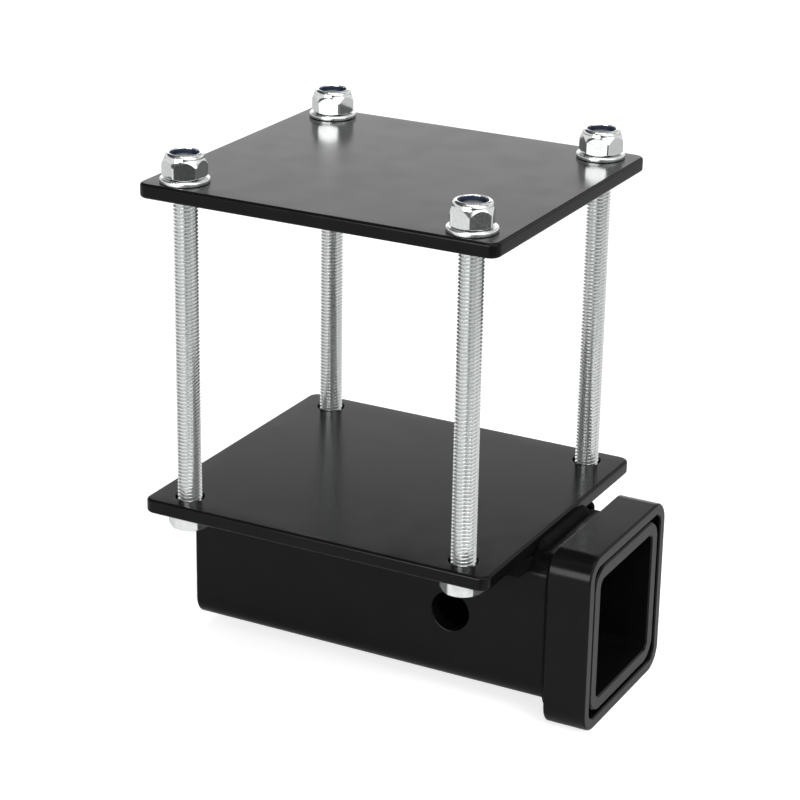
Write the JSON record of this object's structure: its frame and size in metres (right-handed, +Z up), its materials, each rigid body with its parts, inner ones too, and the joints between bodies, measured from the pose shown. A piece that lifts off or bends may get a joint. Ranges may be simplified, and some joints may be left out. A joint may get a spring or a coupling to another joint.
{
  "type": "bumper hitch receiver",
  "caption": "Clamp-on hitch receiver: a square tube with a collared mouth and a pin hole, welded under a plate that long bolts draw against a second plate round a bumper.",
  "frame": {"origin": "the point where the hitch pin's axis crosses the receiver tube's axis", "axes": "+X out of the receiver's mouth, +Y to the left when looking out of the mouth, +Z up through the clamp plates"},
  "size_m": [0.1855, 0.14, 0.2213],
  "materials": {
    "black_powder_coat": "satin black powder coat with a faint orange-peel",
    "bright_zinc": "bright zinc plating",
    "blue_nylon": "dull dark blue nylon"
  },
  "bodies": {
    "base": {"receiver_tube": "black_powder_coat", "mouth_collar": "black_powder_coat", "collar_weld": "black_powder_coat", "lower_plate": "black_powder_coat", "plate_weld_right": "black_powder_coat", "plate_weld_left": "black_powder_coat", "plate_weld_front": "black_powder_coat", "bolt_front_left": "bright_zinc", "bolt_front_right": "bright_zinc", "bolt_rear_left": "bright_zinc", "bolt_rear_right": "bright_zinc"},
    "clamp": {"upper_plate": "black_powder_coat", "washer_front_left": "bright_zinc", "washer_front_right": "bright_zinc", "washer_rear_left": "bright_zinc", "washer_rear_right": "bright_zinc"},
    "nut_front_left": {"nut_front_left": "bright_zinc", "nylon_ring_front_left": "blue_nylon"},
    "nut_front_right": {"nut_front_right": "bright_zinc", "nylon_ring_front_right": "blue_nylon"},
    "nut_rear_left": {"nut_rear_left": "bright_zinc", "nylon_ring_rear_left": "blue_nylon"},
    "nut_rear_right": {"nut_rear_right": "bright_zinc", "nylon_ring_rear_right": "blue_nylon"}
  },
  "joints": [
    {"name": "clamp_slide", "type": "slide", "parent": "base", "child": "clamp", "axis": [0, 0, 1], "range_m": [-0.1265, 0]},
    {"name": "nut_front_left_turn", "type": "hinge", "parent": "clamp", "child": "nut_front_left", "pos_m": [0.0185, 0.0585, 0.17325], "axis": [0, 0, 1], "range_deg": [-30400, 0]},
    {"name": "nut_front_right_turn", "type": "hinge", "parent": "clamp", "child": "nut_front_right", "pos_m": [0.0185, -0.0585, 0.17325], "axis": [0, 0, 1], "range_deg": [-30400, 0]},
    {"name": "nut_rear_left_turn", "type": "hinge", "parent": "clamp", "child": "nut_rear_left", "pos_m": [-0.1065, 0.0585, 0.17325], "axis": [0, 0, 1], "range_deg": [-30400, 0]},
    {"name": "nut_rear_right_turn", "type": "hinge", "parent": "clamp", "child": "nut_rear_right", "pos_m": [-0.1065, -0.0585, 0.17325], "axis": [0, 0, 1], "range_deg": [-30400, 0]}
  ],
  "couplings": [
    {"joint": "nut_front_left_turn", "follows": "clamp_slide", "rad_per_m": 4188.8},
    {"joint": "nut_front_right_turn", "follows": "clamp_slide", "rad_per_m": 4188.8},
    {"joint": "nut_rear_left_turn", "follows": "clamp_slide", "rad_per_m": 4188.8},
    {"joint": "nut_rear_right_turn", "follows": "clamp_slide", "rad_per_m": 4188.8}
  ]
}
